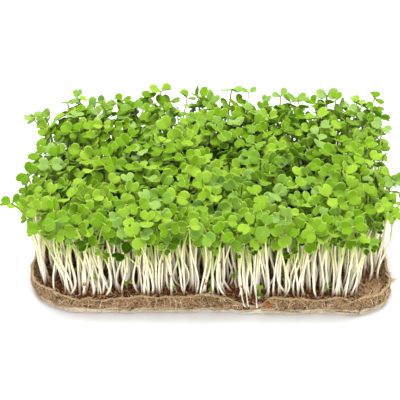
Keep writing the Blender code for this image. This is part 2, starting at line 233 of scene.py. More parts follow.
def unit(vectors):
    vectors = np.asarray(vectors, float)
    return vectors / np.maximum(np.linalg.norm(vectors, axis=-1, keepdims=True), 1e-12)


def cross(a, b):
    """The cross product of two single vectors."""
    return np.array((a[1] * b[2] - a[2] * b[1], a[2] * b[0] - a[0] * b[2], a[0] * b[1] - a[1] * b[0]))


def spun(points, turn):
    """The points turned about Z."""
    c, s = math.cos(turn), math.sin(turn)
    return points @ np.array(((c, -s, 0), (s, c, 0), (0, 0, 1))).T


def flat_grid(rows, columns):
    """The row's and the column's value at each point of a grid, row by row."""
    return [grid.ravel() for grid in np.meshgrid(rows, columns, indexing="ij")]


def sheet_faces(rows, columns):
    """Quads of a thin sheet's upper face, its lower one, whose points follow, and the rim between."""
    width, count = columns + 1, (rows + 1) * (columns + 1)
    faces = []
    for row in range(rows):
        for column in range(columns):
            corner = row * width + column
            quad = (corner, corner + 1, corner + width + 1, corner + width)
            faces.append(quad)
            faces.append(tuple(count + i for i in reversed(quad)))
    rim = list(range(width))
    rim += [row * width + columns for row in range(1, rows + 1)]
    rim += [rows * width + column for column in range(columns - 1, -1, -1)]
    rim += [row * width for row in range(rows - 1, 0, -1)]
    for here, after in zip(rim, rim[1:] + rim[:1]):
        faces.append((here, here + count, after + count, after))
    return faces


def ring_faces(levels, count):
    """Quads between rings of points, with the first and the last ring closed."""
    faces = [tuple(reversed(range(count)))]
    for start in range(0, (levels - 1) * count, count):
        for i in range(count):
            j = (i + 1) % count
            faces.append((start + i, start + j, start + count + j, start + count + i))
    faces.append(tuple(range((levels - 1) * count, levels * count)))
    return faces


@functools.cache
def tube_faces(steps, sides):
    faces = [tuple(range(sides))]
    for low in range(0, (steps - 1) * sides, sides):
        high = low + sides
        for i in range(sides):
            j = (i + 1) % sides
            faces.append((low + i, high + i, high + j, low + j))
    faces.append(tuple((steps - 1) * sides + i for i in reversed(range(sides))))
    return faces


def tube(path, radii, sides):
    """A closed round tube along a path."""
    path = np.asarray(path, float)
    runs = unit(np.gradient(path, axis=0))
    lead = np.array((1.0, 0.0, 0.0)) if abs(runs[0][0]) < 0.8 else np.array((0.0, 1.0, 0.0))
    axis_a = unit(np.cross(runs, lead))
    axis_b = np.cross(runs, axis_a)
    turns = (np.arange(sides) * 2 * math.pi / sides)[None, :, None]
    around = np.cos(turns) * axis_a[:, None] + np.sin(turns) * axis_b[:, None]
    rings = path[:, None] + np.asarray(radii, float)[:, None, None] * around
    return rings.reshape(-1, 3), tube_faces(len(path), sides)


def smooth_noise(place, scale, offset=0.0):
    """Smooth noise from about -1 to 1 at a place, with lumps of about 1/scale metres."""
    return noise.noise(Vector((place[0] * scale + offset, place[1] * scale - offset, place[2] * scale)))


def rough(place, layers):
    return sum(reach * smooth_noise(place, scale, offset) for reach, scale, offset in layers)


# Materials


class Nodes:
    """Short calls that add shader nodes to one material."""

    def __init__(self, name):
        self.material = bpy.data.materials.new(name)
        self.material.use_nodes = True
        self.tree = self.material.node_tree
        self.shader = self.tree.nodes["Principled BSDF"]

    def link(self, source, target):
        if isinstance(source, (int, float, tuple)):
            target.default_value = source
        else:
            self.tree.links.new(source, target)

    def node(self, kind, **inputs):
        """A new node with its named inputs set or linked."""
        made = self.tree.nodes.new("ShaderNode" + kind)
        for name, source in inputs.items():
            self.link(source, made.inputs[name.replace("_", " ")])
        return made

    def value(self, name):
        node = self.node("Attribute")
        node.attribute_name = name
        return node.outputs["Fac"]

    def math(self, operation, *inputs, clamp=False):
        node = self.node("Math")
        node.operation = operation
        node.use_clamp = clamp
        for socket, source in zip(node.inputs, inputs):
            self.link(source, socket)
        return node.outputs[0]

    def plus(self, first, second):
        return self.math("ADD", first, second)

    def less(self, first, second):
        return self.math("SUBTRACT", first, second)

    def times(self, first, second):
        return self.math("MULTIPLY", first, second)

    def band(self, source, low, high):
        """0 below low, 1 above high."""
        node = self.node("MapRange", Value=source, From_Min=low, From_Max=high)
        node.interpolation_type = "SMOOTHSTEP"
        return node.outputs["Result"]

    def fade(self, source, low, high):
        """1 below low, 0 above high."""
        return self.less(1.0, self.band(source, low, high))

    def cover(self, colour, other, share, strength=1.0):
        """A colour with another over it, as far as a share times a strength."""
        node = self.node("Mix")
        node.data_type = "RGBA"
        self.link(share if strength == 1.0 else self.times(share, strength), node.inputs["Factor"])
        self.link(colour, node.inputs["A"])
        self.link(other, node.inputs["B"])
        return node.outputs["Result"]

    def noise(
        self, scale, detail=3.0, roughness=0.55, distortion=0.0, stretch=(1.0, 1.0, 1.0), move=(0.0, 0.0, 0.0)
    ):
        place = self.node("TexCoord").outputs["Object"]
        place = self.node("Mapping", Vector=place, Location=move, Scale=stretch).outputs["Vector"]
        made = self.node("TexNoise", Vector=place, Scale=scale, Detail=detail)
        self.link(roughness, made.inputs["Roughness"])
        self.link(distortion, made.inputs["Distortion"])
        return made.outputs["Fac"]

    def strands(self, scale, sharpness, offset):
        """Thin winding bright lines, as of matted fibres."""
        winding = self.noise(scale, 1.5, 0.5, 1.4, move=(offset, -offset, offset * 0.5))
        away = self.math("ABSOLUTE", self.less(winding, 0.5))
        return self.math("SUBTRACT", 1.0, self.times(away, sharpness), clamp=True)

    def bump(self, height, strength, distance):
        node = self.node("Bump", Height=height, Strength=strength, Distance=distance)
        self.link(node.outputs["Normal"], self.shader.inputs["Normal"])

    def finish(self, colour, roughness, specular, subsurface=0.0, reach=0.001, radii=(1.0, 0.6, 0.3)):
        self.link(colour, self.shader.inputs["Base Color"])
        self.link(roughness, self.shader.inputs["Roughness"])
        self.link(specular, self.shader.inputs["Specular IOR Level"])
        self.link(subsurface, self.shader.inputs["Subsurface Weight"])
        self.link(reach, self.shader.inputs["Subsurface Scale"])
        self.link(radii, self.shader.inputs["Subsurface Radius"])
        return self.material


YELLOW_GREEN = (0.262, 0.412, 0.036, 1.0)
MID_GREEN = (0.112, 0.230, 0.006, 1.0)
BLUE_GREEN = (0.240, 0.375, 0.100, 1.0)
PAINTED_SHADE_GREEN = (0.013, 0.050, 0.0004, 1.0)
RIM_HIGHLIGHT_GREEN = (0.350, 0.510, 0.120, 1.0)
VEIN_GREEN = (0.230, 0.380, 0.035, 1.0)
UNDER_GREEN = (0.130, 0.250, 0.020, 1.0)
LEAF_SHINE = (0.60, 0.90, 0.25, 1.0)


def leaf_finish():
    """Yellow-green to blue-green by leaf, with faint veins, painted shade that darkens the lower leaves, and
    a painted highlight as a paler rim.
    """
    nodes = Nodes("leaf_tissue")
    across, along = nodes.value("across"), nodes.value("along")
    tint, age, under = nodes.value("tint"), nodes.value("age"), nodes.value("under")
    mottle = nodes.noise(420.0, detail=4.0)
    green = nodes.cover(YELLOW_GREEN, MID_GREEN, nodes.band(tint, 0.0, 0.55))
    green = nodes.cover(green, BLUE_GREEN, nodes.band(tint, 0.50, 1.0))
    # Painted shade: leaves low in the stand are darkened toward a deep green, with a random spread by leaf
    green = nodes.cover(green, PAINTED_SHADE_GREEN, nodes.band(age, 0.55, 1.0))
    green = nodes.cover(green, MID_GREEN, mottle, 0.35)
    side = nodes.math("ABSOLUTE", across)
    slant = nodes.less(along, nodes.times(side, 0.45))
    wave = nodes.math("ABSOLUTE", nodes.math("SINE", nodes.times(slant, 11.0)))
    lateral = nodes.times(nodes.fade(wave, 0.0, 0.28), nodes.fade(side, 0.55, 0.85))
    veins = nodes.math("MAXIMUM", nodes.fade(side, 0.02, 0.13), nodes.times(lateral, 0.45))
    green = nodes.cover(green, VEIN_GREEN, veins, 0.26)
    # Painted highlight: a paler rim along each leaf's edge
    rim = nodes.band(nodes.math("MAXIMUM", side, along), 0.86, 0.99)
    green = nodes.cover(green, RIM_HIGHLIGHT_GREEN, rim, 0.45)
    green = nodes.cover(green, UNDER_GREEN, under, 0.55)
    nodes.bump(nodes.plus(nodes.times(veins, -0.6), mottle), 0.25, 0.0003)
    nodes.link(LEAF_SHINE, nodes.shader.inputs["Specular Tint"])
    return nodes.finish(green, 0.58, 0.05, subsurface=0.40, reach=0.0008, radii=(0.60, 1.0, 0.08))


STEM_FOOT = (0.500, 0.330, 0.230, 1.0)
STEM_WHITE = (0.905, 0.840, 0.710, 1.0)
STEM_CREAM = (0.895, 0.840, 0.530, 1.0)
STEM_GREEN = (0.300, 0.420, 0.030, 1.0)
STEM_SHADED = (0.042, 0.084, 0.003, 1.0)


def stem_finish():
    """Pinkish brown at the foot, then white, cream and yellow-green; a tint over 1 is painted shade, dark
    green higher up, for stems inside the stand.
    """
    nodes = Nodes("stem_tissue")
    rise, tint = nodes.value("rise"), nodes.value("tint")
    colour = nodes.cover(STEM_WHITE, STEM_CREAM, nodes.band(rise, 0.14, 0.60))
    # Painted shade: a tint over 1, given to stems inside the stand, turns them green lower down and dark
    # green higher up
    green_and_shade = nodes.plus(rise, nodes.times(tint, 0.22))
    colour = nodes.cover(colour, STEM_GREEN, nodes.band(green_and_shade, 0.62, 0.98))
    colour = nodes.cover(colour, STEM_SHADED, nodes.band(green_and_shade, 0.98, 1.22))
    above = nodes.less(rise, nodes.times(tint, 0.07))
    colour = nodes.cover(STEM_FOOT, colour, nodes.band(above, 0.0, 0.11))
    streaks = nodes.noise(900.0, stretch=(1.0, 1.0, 0.08))
    colour = nodes.cover(colour, STEM_CREAM, streaks, 0.16)
    nodes.bump(streaks, 0.15, 0.0002)
    return nodes.finish(colour, 0.40, 0.20, subsurface=0.50, reach=0.0015, radii=(1.0, 0.85, 0.55))


FELT_TAN = (0.210, 0.113, 0.057, 1.0)
FELT_BROWN = (0.042, 0.020, 0.009, 1.0)
FELT_GOLD = (0.610, 0.395, 0.195, 1.0)
FELT_EDGE = (0.760, 0.560, 0.310, 1.0)
FELT_DIRTY = (0.190, 0.120, 0.063, 1.0)
FELT_CREAM = (0.920, 0.785, 0.560, 1.0)
FELT_WHITE = (1.000, 0.950, 0.830, 1.0)
FELT_SPECK_AND_SHADE = (0.050, 0.028, 0.016, 1.0)


def felt_finish():
    """Matted brown and golden fibres, cream along the lower edge, paler at the torn rim, with painted shade
    in the pits.
    """
    nodes = Nodes("felted_fibre")
    low, rim, pit = nodes.value("low"), nodes.value("rim"), nodes.value("pit")
    patches = nodes.noise(110.0, detail=5.0, roughness=0.65)
    grain = nodes.noise(900.0, detail=4.0, roughness=0.7)
    strands = nodes.math("MAXIMUM", nodes.strands(240.0, 14.0, 0.0), nodes.strands(330.0, 12.0, 3.0))
    colour = nodes.cover(FELT_BROWN, FELT_TAN, nodes.band(patches, 0.38, 0.60))
    colour = nodes.cover(colour, FELT_BROWN, nodes.band(grain, 0.40, 0.62), 0.48)
    colour = nodes.cover(colour, FELT_GOLD, strands, 0.70)
    streaks = nodes.noise(300.0, detail=4.0, roughness=0.7, stretch=(0.25, 0.25, 2.5))
    cream = nodes.cover(FELT_CREAM, FELT_DIRTY, nodes.band(streaks, 0.45, 0.58))
    cream = nodes.cover(cream, FELT_WHITE, nodes.band(low, 0.60, 0.78), 0.92)
    ragged = nodes.plus(low, nodes.times(nodes.less(patches, 0.5), 0.60))
    colour = nodes.cover(colour, cream, nodes.band(ragged, 0.34, 0.48), 0.95)
    torn = nodes.noise(260.0, roughness=0.7)
    edge = nodes.band(nodes.plus(rim, nodes.times(torn, 1.1)), 0.95, 1.30)
    colour = nodes.cover(colour, FELT_EDGE, edge, 0.85)
    specks = nodes.noise(380.0, detail=2.0)
    colour = nodes.cover(colour, FELT_SPECK_AND_SHADE, nodes.band(specks, 0.66, 0.72), 0.65)
    # Painted shade: the pits are filled with the dark speck colour
    colour = nodes.cover(colour, FELT_SPECK_AND_SHADE, pit)
    nodes.bump(nodes.plus(strands, grain), 0.8, 0.0008)
    return nodes.finish(colour, 0.95, 0.12)


def fibre_finish():
    """Loose fibres, brown, golden or cream by fibre."""
    nodes = Nodes("loose_fibre")
    tint = nodes.value("tint")
    colour = nodes.cover(FELT_TAN, FELT_GOLD, nodes.band(tint, 0.0, 0.5))
    colour = nodes.cover(colour, FELT_CREAM, nodes.band(tint, 0.5, 1.0))
    return nodes.finish(colour, 0.75, 0.3)


SOIL_DARK = (0.020, 0.010, 0.007, 1.0)
SOIL_RED = (0.190, 0.068, 0.030, 1.0)
SOIL_TAN = (0.780, 0.540, 0.320, 1.0)


def soil_finish():
    """Dark peat with red-brown crumbs and tan flecks. A tint of 0.5 is red-brown and one of 1 tan."""
    nodes = Nodes("peat")
    tint = nodes.value("tint")
    clumps = nodes.noise(160.0, detail=6.0, roughness=0.7)
    flecks = nodes.noise(700.0, roughness=0.6, stretch=(1.0, 0.5, 1.0))
    colour = nodes.cover(SOIL_DARK, SOIL_RED, nodes.band(clumps, 0.40, 0.64))
    colour = nodes.cover(colour, SOIL_TAN, nodes.band(flecks, 0.56, 0.68), 0.6)
    colour = nodes.cover(colour, SOIL_RED, nodes.band(tint, 0.0, 0.5), 0.8)
    colour = nodes.cover(colour, SOIL_TAN, nodes.band(tint, 0.5, 1.0), 0.9)
    nodes.bump(nodes.plus(clumps, flecks), 0.8, 0.0010)
    return nodes.finish(colour, 0.9, 0.25)


HUSK_BROWN = (0.190, 0.060, 0.020, 1.0)
HUSK_ORANGE = (0.560, 0.230, 0.055, 1.0)


def husk_finish():
    """Seed coats from dark brown to orange-brown by husk."""
    nodes = Nodes("seed_coat")
    mottle = nodes.noise(900.0)
    colour = nodes.cover(HUSK_BROWN, HUSK_ORANGE, nodes.value("tint"))
    colour = nodes.cover(colour, HUSK_BROWN, mottle, 0.5)
    nodes.bump(mottle, 0.4, 0.0003)
    return nodes.finish(colour, 0.55, 0.35, subsurface=0.2, reach=0.0006)


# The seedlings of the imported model, read from its bunches


def loose_groups(mesh):
    """The connected groups of a bmesh's vertices."""
    seen = set()
    for start in mesh.verts:
        if start in seen:
            continue
        group, waiting = [], [start]
        seen.add(start)
        while waiting:
            vert = waiting.pop()
            group.append(vert)
            for edge in vert.link_edges:
                other = edge.other_vert(vert)
                if other not in seen:
                    seen.add(other)
                    waiting.append(other)
        yield group


def blade_of(middles, normals, tip):
    """One leaf of a packed seedling: where it runs from the stem, its normal and its size."""
    normal = unit(normals.mean(axis=0))
    run = middles.mean(axis=0) - tip
    way = unit(run - normal * run.dot(normal))
    spread = max(np.linalg.norm(a - b) for a in middles for b in middles)
    return {"way": way, "normal": normal, "size": PACKED_SIZE * spread / CAD_BLADE_WIDTH}


def seedling_of(group):
    """A packed seedling's foot, tip, bow and leaves, from its vertices, or None if they have another form."""
    edges = sorted({edge for vert in group for edge in vert.link_edges}, key=lambda edge: edge.index)
    edges.sort(key=lambda edge: abs(edge.calc_length() - CAD_BLADE_THICKNESS))
    rim = edges[:2 * CAD_BLADE_POINTS]
    if len(rim) < 2 * CAD_BLADE_POINTS or abs(rim[-1].calc_length() - CAD_BLADE_THICKNESS) > 5e-6:
        return None
    rim.sort(key=lambda edge: edge.index)
    rim_verts = {vert for edge in rim for vert in edge.verts}
    feet = [vert.co for vert in group if vert.co.z < CLOD_CEILING]
    others = [vert.co for vert in group if vert not in rim_verts and vert.co.z >= CLOD_CEILING]
    others.sort(key=lambda place: -place.z)
    tip = np.mean(others[:CAD_NODE_POINTS], axis=0)
    bend = np.mean(others[CAD_NODE_POINTS:CAD_NODE_POINTS + CAD_BEND_POINTS], axis=0)
    foot = np.mean(feet, axis=0)
    middles = np.array([(edge.verts[0].co + edge.verts[1].co) / 2 for edge in rim])
    normals = unit([edge.verts[0].co - edge.verts[1].co for edge in rim])
    normals *= np.sign(normals[:, 2:])
    spread = middles - middles.mean(axis=0)
    axis = np.linalg.svd(spread)[2][0]
    leaves = [blade_of(middles[side], normals[side], tip) for side in (spread @ axis > 0, spread @ axis < 0)]
    return {"foot": foot, "tip": tip, "bow": bend - (foot + tip) / 2, "leaves": leaves}


def packed_seedlings():
    """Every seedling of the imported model, by the name of its bunch."""
    found = {}
    for name, obj in sorted(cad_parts.items()):
        if not name.startswith("seedlings"):
            continue
        mesh = bmesh.new()
        mesh.from_mesh(obj.data)
        bmesh.ops.remove_doubles(mesh, verts=mesh.verts, dist=2e-6)
        clod = [face for face in mesh.faces if max(vert.co.z for vert in face.verts) < CLOD_CEILING]
        bmesh.ops.delete(mesh, geom=clod, context="FACES")
        mesh.edges.index_update()
        found[name] = [made for made in map(seedling_of, loose_groups(mesh)) if made]
        mesh.free()
    return found


# The seedlings between them


def stem_points(seedling, count=STEM_STEPS + 1):
    """A smooth stem from the foot to the tip that passes its bow half way up."""
    foot, tip, bow = seedling["foot"], seedling["tip"], seedling["bow"]
    t = np.linspace(0.0, 1.0, count)[:, None]
    cube, square = t ** 3, t ** 2
    start, end = (tip - foot) + 4 * bow, (tip - foot) - 4 * bow
    sway = seedling.get("sway", np.zeros(3)) * np.sin(t * math.pi * 2) * (1 - t)
    lower = (2 * cube - 3 * square + 1) * foot + (cube - 2 * square + t) * start
    return lower + (3 * square - 2 * cube) * tip + (cube - square) * end + sway


class Room:
    """The space that leaves and stems already take, as small cubes of the CAD box and a margin round it."""

    def __init__(self, cell):
        low, high = (np.array(corner) for corner in CAD_BOX)
        self.cell, self.low = cell, low - 4 * cell
        self.shape = np.ceil((high - low) / cell).astype(int) + 8
        self.leaves, self.stems = np.zeros(self.shape, bool), np.zeros(self.shape, bool)

    def cells(self, points, shift=0):
        cells = ((points - self.low) / self.cell).astype(int) + shift
        return tuple(np.clip(cells, 0, self.shape - 1).T)

    def add(self, seedling):
        samples = leaf_samples(seedling)
        for shift in np.ndindex(3, 3, 3):
            self.leaves[self.cells(samples, np.array(shift) - 1)] = True
        self.stems[self.cells(stem_samples(seedling))] = True

    def is_free(self, seedling):
        """True where the samples meet no leaf, and the leaves' ones no stem's. Stems may cross each other."""
        leaf_cells = self.cells(leaf_samples(seedling))
        if self.leaves[leaf_cells].any() or self.stems[leaf_cells].any():
            return False
        return not self.leaves[self.cells(stem_samples(seedling))].any()


SAMPLE_ALONG, SAMPLE_SIDE = flat_grid((0.12, 0.34, 0.56, 0.78, 0.95), (-0.92, -0.55, -0.18, 0.18, 0.55, 0.92))
SAMPLE_HALF = np.where(SAMPLE_ALONG < 0.2, 0.45, 0.92) * SAMPLE_SIDE * 0.5 * LEAF_WIDTH


def leaf_samples(seedling):
    """Points spread over both leaves, as if they were flat."""
    samples = []
    for leaf in seedling["leaves"]:
        across = cross(leaf["normal"], leaf["way"])
        reach = PETIOLE + SAMPLE_ALONG * (LEAF_LENGTH * leaf["size"])
        over = SAMPLE_HALF * leaf["size"]
        samples.append(seedling["tip"] + reach[:, None] * leaf["way"] + over[:, None] * across)
    return np.concatenate(samples)


def stem_samples(seedling):
    """Points along the upper part of the stem, where leaves are."""
    return stem_points(seedling, STEM_SAMPLES)[FIRST_STEM_SAMPLE:-1]


def edge_pull(x, y, band):
    """How near the bed's edge a foot is: 0 inside the band, 1 at the edge, signed outward."""
    pull = []
    for value, half in zip((x, y), BED_HALF):
        share = max(0.0, (abs(value) - (half - band)) / band)
        pull.append(math.copysign(min(1.0, share), value))
    return pull


def in_rounded_box(x, y, half, corner):
    """True inside a box round the middle, from its half sizes and its corners' radius."""
    over_x, over_y = abs(x) - (half[0] - corner), abs(y) - (half[1] - corner)
    return over_x < 0 or over_y < 0 or math.hypot(over_x, over_y) < corner


def on_bed(x, y):
    """True where a foot is inside the bed's rounded corners and off its bare spots."""
    off_spots = all(math.hypot(x - spot_x, y - spot_y) > reach for spot_x, spot_y, reach in BARE_SPOTS)
    return off_spots and in_rounded_box(x, y, SOWN_HALF, BED_CORNER)


def lowest_front(x):
    """How high above the soil the front leaves start: more at both ends, and uneven between."""
    return 0.0472 + 0.0075 * smooth_noise((x, 0.0, 0.0), 60.0, 6.0) + 0.0100 * (abs(x) / 0.110) ** 5


def drawn_seedling(draw, x, y, heights, sizes):
    """A random seedling on a foot. Near the edge it leans out, and at the front its leaves face forward."""
    pull_x, pull_y = edge_pull(x, y, EDGE_BAND)
    front, back = max(0.0, -y / BED_HALF[1]), max(0.0, y / BED_HALF[1])
    height = draw.uniform(*heights)
    if heights[1] > STUNTED_TIP:
        height = min(TALLEST, height + 0.0085 * back + 0.0045 * smooth_noise((x, y, 0.0), 42.0, 2.0))
        if front > FRONT_ROWS:
            height = max(height, lowest_front(x) - (0.006 if sizes[1] < SMALL_LEAF else 0.0))
    stray = min(1.0, height / 0.045)
    foot = np.array((x, y, SOIL_HEIGHT - 0.0005))
    tip_x = x + stray * (pull_x * 0.0018 - 0.0006 + draw.gauss(0, 0.0040))
    tip_y = y + stray * (pull_y * 0.0060 - 0.0025 + draw.gauss(0, 0.0038))
    tip = np.array((tip_x, tip_y, SOIL_HEIGHT + height))
    lean_x = pull_x * 0.45 - 0.03 + draw.gauss(0, 0.40)
    lean_y = -0.34 - 0.50 * front ** 1.2 + 0.04 * back + max(0.0, pull_y) * 0.20 + draw.gauss(0, 0.38)
    up = unit((lean_x, lean_y, 1.0))
    angle = draw.uniform(0, 2 * math.pi)
    flat = np.array((math.cos(angle), math.sin(angle), 0.0))
    axis = unit(flat - up * flat.dot(up))
    size = draw.uniform(*sizes)
    leaves = []
    for side, share in ((1.0, 1.0), (-1.0, draw.uniform(0.80, 1.0))):
        lift = math.radians(draw.uniform(-10, 38))
        way = axis * (side * math.cos(lift)) + up * math.sin(lift)
        normal = up * math.cos(lift) - axis * (side * math.sin(lift))
        leaves.append({"way": way, "normal": normal, "size": size * share})
    bow = upright_bow(foot, tip, 0.8) + stray * np.array((draw.gauss(0, 0.0025), draw.gauss(0, 0.0022), 0.0))
    sway = stray * np.array((draw.gauss(0, 0.0020), draw.gauss(0, 0.0018), 0.0))
    return {"foot": foot, "tip": tip, "bow": bow, "sway": sway, "leaves": leaves}


def upright_bow(foot, tip, share):
    """The bow of a stem that starts upright and leans higher up, at a share of 1. At 0 it is straight."""
    return -0.25 * share * (tip - foot) * (1.0, 1.0, 0.0)


def inside_cad_box(seedling):
    low, high = (np.array(corner) for corner in CAD_BOX)
    points = leaf_samples(seedling)
    above_low = (points.min(axis=0) > low + LEAF_MARGIN).all()
    return bool(above_low and (points.max(axis=0) < high - LEAF_MARGIN).all())


def free_seedling(draw, room, x, y, heights, sizes):
    """A random seedling on a foot whose samples find room, or None."""
    for _ in range(LEAF_TRIES):
        seedling = drawn_seedling(draw, x, y, heights, sizes)
        if inside_cad_box(seedling) and room.is_free(seedling):
            room.add(seedling)
            return seedling
    return None


def is_low_front(seedling):
    """True for the solids' short seedlings at the front and the ends, whose large leaves hide the stems."""
    x, y, height = seedling["tip"]
    at_end = abs(x) > LOW_SIDE_X and y < 0.0 and height < LOW_SIDE_TIP
    return height > STUNTED_TIP and (at_end or (height < LOW_FRONT_TIP and y < LOW_FRONT_Y))


def sow_between(packed):
    """Raises most of the low front seedlings and adds finer ones, each to the bunch whose foot is nearest."""
    draw = random.Random(SEED)
    room = Room(ROOM_CELL)
    feet, names, raised = [], [], []
    for name, seedlings in packed.items():
        packed[name] = []
        for seedling in seedlings:
            feet.append(seedling["foot"][:2])
            names.append(name)
            if is_low_front(seedling) and draw.random() > LOW_KEPT:
                raised.append((name, *seedling["foot"][:2]))
            else:
                seedling["bow"] = 0.4 * seedling["bow"] + upright_bow(seedling["foot"], seedling["tip"], 0.7)
                room.add(seedling)
                packed[name].append(seedling)
    packed_feet = np.array(feet)
    for name, x, y in raised:
        seedling = free_seedling(draw, room, x, y, *SOWING_ROUNDS[RAISED_ROUND][2:])
        if seedling:
            packed[name].append(seedling)
    for wanted, (left, right, near, far), heights, sizes in SOWING_ROUNDS:
        added = 0
        for _ in range(wanted * FOOT_TRIES):
            if added == wanted:
                break
            x, y = draw.uniform(left, right), draw.uniform(near, far)
            clumped = smooth_noise((x, y, 0.0), 110.0) > draw.uniform(-0.75, 0.15)
            if not (on_bed(x, y) and clumped and np.hypot(*(np.array(feet) - (x, y)).T).min() > FOOT_SPACING):
                continue
            seedling = free_seedling(draw, room, x, y, heights, sizes)
            if seedling:
                feet.append((x, y))
                nearest = np.hypot(*(packed_feet - (x, y)).T).argmin()
                packed[names[nearest]].append(seedling)
                added += 1


# Leaves and stems

LEAF_ALONG, LEAF_ACROSS = flat_grid(np.linspace(0, 1, LEAF_ROWS + 1), np.linspace(-1, 1, LEAF_COLUMNS + 1))
LEAF_FACES = sheet_faces(LEAF_ROWS, LEAF_COLUMNS)
LEAF_VALUES = {
    "along": np.tile(LEAF_ALONG, 2),
    "across": np.tile(LEAF_ACROSS, 2),
    "under": np.repeat((0.0, 1.0), len(LEAF_ALONG)),
}


def leaf_half_width(along):
    """Half width of the blade as a share of its greatest, with the widest place past the middle."""
    toward_base = (1 - (np.clip(0.58 - along, 0, 1) / 0.60) ** 2.2) ** 0.55
    toward_tip = (1 - (np.clip(along - 0.58, 0, 1) / 0.62) ** 2.4) ** 0.60
    return np.where(along < 0.58, toward_base, toward_tip)


def add_leaf(batch, draw, base, leaf, tint, age):
    """Adds one notched seed leaf with a crease along its midrib, cupped or folded a little."""
    normal, way, size = leaf["normal"], leaf["way"], leaf["size"]
    along, side = LEAF_ALONG, LEAF_ACROSS
    notch = draw.uniform(0.16, 0.30)
    ends = notch * np.exp(-(side / 0.34) ** 2) + 0.13 * np.abs(side) ** 2.5
    reach = along * (1 - along ** 2 * ends)
    half = leaf_half_width(along) * draw.uniform(0.46, 0.54)
    fold = math.radians(max(0.0, draw.gauss(9, 13)))
    cup, droop = draw.uniform(-0.08, 0.18), draw.uniform(-0.06, 0.20)
    twist = draw.gauss(0, 0.09)
    over = side * half * math.cos(fold)
    height = np.abs(side) * half * math.sin(fold)
    height += cup * side ** 2 * half * 2 - droop * reach ** 2 + twist * side * half * reach
    height -= 0.020 * np.exp(-(side / 0.16) ** 2)
    height += draw.uniform(0.004, 0.016) * np.sin(along * 7 + side * 4 + draw.uniform(0, 6))
    length, width = LEAF_LENGTH * size, LEAF_WIDTH * size
    middle = base + np.outer(reach * length, way) + np.outer(over * width, cross(normal, way))
    middle += np.outer(height * width, normal)
    closeness = np.maximum(np.abs(side), along)
    half_thick = LEAF_THICKNESS / 2 * (1 - 0.55 * np.clip((closeness - 0.8) / 0.2, 0, 1))
    thick = np.outer(half_thick, normal)
    batch.add(np.concatenate((middle + thick, middle - thick)), LEAF_FACES, tint=tint, age=age, **LEAF_VALUES)


def add_seedling(leaves, stems, draw, seedling):
    """Adds one seedling's stem, its two leaf stalks and its two leaves."""
    foot, tip = seedling["foot"], seedling["tip"]
    path = stem_points(seedling)
    thick = draw.uniform(0.82, 1.16)
    share = np.linspace(0.0, 1.0, len(path))
    radii = (STEM_BASE_RADIUS + (STEM_TOP_RADIUS - STEM_BASE_RADIUS) * share ** 1.4) * thick
    from_edge = min(foot[1] + 0.062, 0.066 - foot[1], 0.104 - abs(foot[0]))
    # Stems whose feet are inside the stand get a tint over 1, for painted shade
    stem_tone_and_shade = draw.random() + 1.9 * clamp(from_edge / 0.022)
    points, faces = tube(path, radii, STEM_SIDES)
    stems.add(points, faces, rise=np.repeat(share, STEM_SIDES), tint=stem_tone_and_shade)
    high = clamp((tip[2] - 0.060) / 0.020)
    tint = clamp(draw.gauss(0.38 + 0.14 * high, 0.24 + 0.05 * high))
    # Painted shade: the lower a seedling's leaves, the darker they are painted; less so at the tray's ends
    # and on stunted sprouts
    shade = 1.0 - clamp((tip[2] - 0.042) / 0.022)
    if abs(tip[0]) > LOW_SIDE_X - 0.002:
        shade *= 0.4
    if tip[2] < STUNTED_TIP:
        shade, tint = 0.2, tint * 0.5
    age = clamp(shade + draw.gauss(0.37 - 0.12 * high, 0.22))
    up = unit(sum(leaf["normal"] for leaf in seedling["leaves"]))
    for leaf in seedling["leaves"]:
        stalk = PETIOLE * draw.uniform(0.85, 1.3)
        base = tip + leaf["way"] * stalk
        bend = tip + up * 0.0003 + leaf["way"] * stalk * 0.4
        curve = (tip - up * 0.0008, tip, bend, base, base + leaf["way"] * 0.0010)
        points, faces = tube(curve, STALK_RADII, STALK_SIDES)
        stems.add(points, faces, rise=1.0, tint=0.0)
        add_leaf(leaves, draw, base, leaf, tint, clamp(age + draw.gauss(0, 0.10)))


def make_seedlings():
    packed = packed_seedlings()
    sow_between(packed)
    draw = random.Random(SEED + 1)
    leaf_look, stem_look = leaf_finish(), stem_finish()
    for name, seedlings in packed.items():
        leaves = Batch("along", "across", "under", "tint", "age")
        stems = Batch("rise", "tint")
        for seedling in seedlings:
            add_seedling(leaves, stems, draw, seedling)
        leaves.piece(name.replace("seedlings", "leaves"), leaf_look, "leaf", name)
        stems.piece(name.replace("seedlings", "stems"), stem_look, "stem", name)
    return [seedling for seedlings in packed.values() for seedling in seedlings]


# The tray

CORNER_SIGNS = ((-1, -1), (1, -1), (1, 1), (-1, 1))
PLAN_STEPS = sum(ARC_STEPS + straight for straight in STRAIGHT_STEPS)
CORNER_SHARE = (ARC_STEPS + STRAIGHT_STEPS[0] + 0.9 * ARC_STEPS) / PLAN_STEPS  # of the front right corner
WAY_ROUND = 0.76  # metres, along the plan


def corner_centre(index):
    (sign_x, sign_y), radius = CORNER_SIGNS[index], CORNER_RADII[index]
    return np.array((sign_x * (TRAY_LENGTH / 2 - radius), sign_y * (TRAY_DEPTH / 2 - radius)))


def plan_point(share):
    """A point of the plan and its outward normal at a share of the way round from the front left arc."""
    place = (share % 1.0) * PLAN_STEPS
    for index, straight in enumerate(STRAIGHT_STEPS):
        angle = math.pi + (index + min(1.0, place / ARC_STEPS)) * math.pi / 2
        normal = np.array((math.cos(angle), math.sin(angle)))
        start = corner_centre(index) + normal * CORNER_RADII[index]
        if place < ARC_STEPS:
            return start, normal
        place -= ARC_STEPS
        if place < straight:
            after = (index + 1) % 4
            end = corner_centre(after) + normal * CORNER_RADII[after]
            return start + (end - start) * (place / straight), normal
        place -= straight
    return plan_point(0.0)


